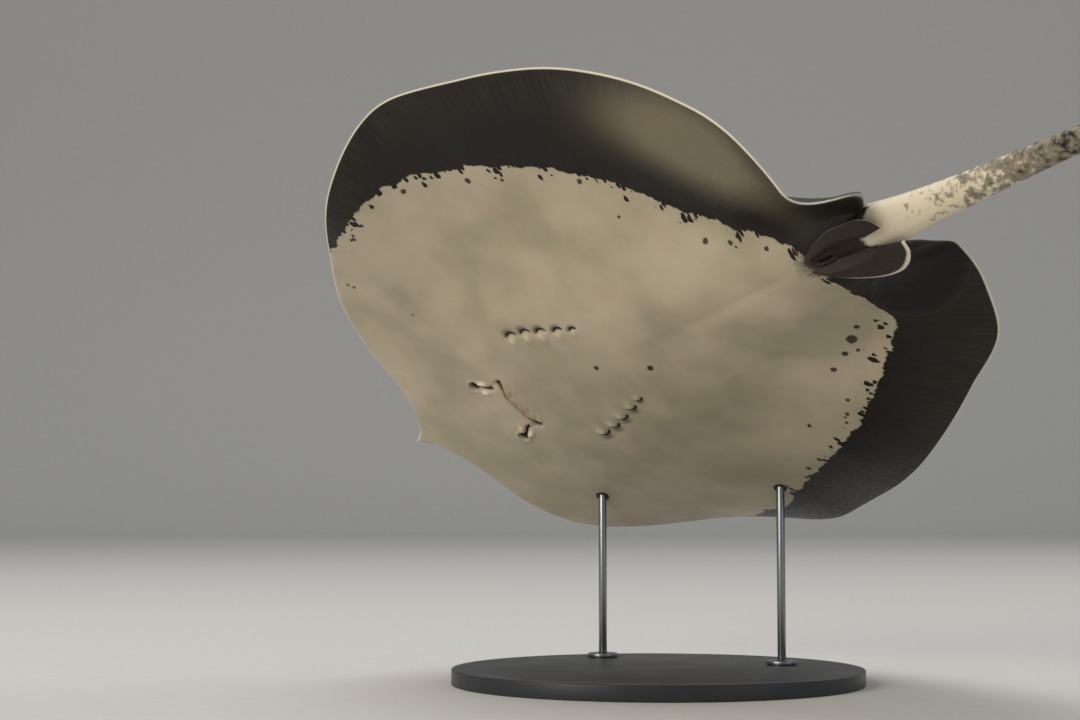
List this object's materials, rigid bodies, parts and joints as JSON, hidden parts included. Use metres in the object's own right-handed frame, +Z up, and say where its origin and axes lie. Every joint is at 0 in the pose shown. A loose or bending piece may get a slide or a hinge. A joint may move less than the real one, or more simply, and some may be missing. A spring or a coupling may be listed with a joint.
{
  "type": "freshwater stingray",
  "caption": "Still life-size freshwater stingray, banking with its pale underside to the viewer, fins in mid beat, whip tail trailing, on an oval base with upright rods.",
  "frame": {"origin": "middle of the stand base's underside, on the surface that it stands on", "axes": "+Z up; the viewer stands on the -Y side, and +X is to the viewer's right, the way the tail points"},
  "size_m": [1.8126, 1.8692, 0.7962],
  "materials": {
    "head_skin": "smooth wet-looking skin, brown above and cream below",
    "trunk_skin": "smooth wet-looking skin, brown above and cream below",
    "pectoral_left_skin": "smooth skin, brown above, cream below with a dark band along the margin",
    "pectoral_right_skin": "smooth skin, brown above, cream below with a dark band along the margin",
    "pelvic_left_skin": "dark smooth skin with a pale edge",
    "pelvic_right_skin": "dark smooth skin with a pale edge",
    "tail_1_skin": "skin set with fine denticles, pale at the root",
    "tail_2_skin": "skin set with fine denticles, mottled dark",
    "tail_3_skin": "black skin set with small prickles",
    "tail_4_skin": "black skin set with small prickles",
    "sting_bone": "bony, ivory brown",
    "eye": "wet gloss",
    "base_paint": "satin black paint",
    "rod_steel": "satin"
  },
  "bodies": {
    "root": {"head": "head_skin", "trunk": "trunk_skin", "pectoral_fin_left": "pectoral_left_skin", "pectoral_fin_right": "pectoral_right_skin", "pelvic_fin_left": "pelvic_left_skin", "pelvic_fin_right": "pelvic_right_skin", "tail_1": "tail_1_skin", "tail_2": "tail_2_skin", "tail_3": "tail_3_skin", "tail_4": "tail_4_skin", "sting": "sting_bone", "eye_left": "eye", "eye_right": "eye", "stand_base": "base_paint", "stand_rod_front": "rod_steel", "stand_rod_rear": "rod_steel", "stand_flange_front": "rod_steel", "stand_flange_rear": "rod_steel"}
  },
  "joints": []
}
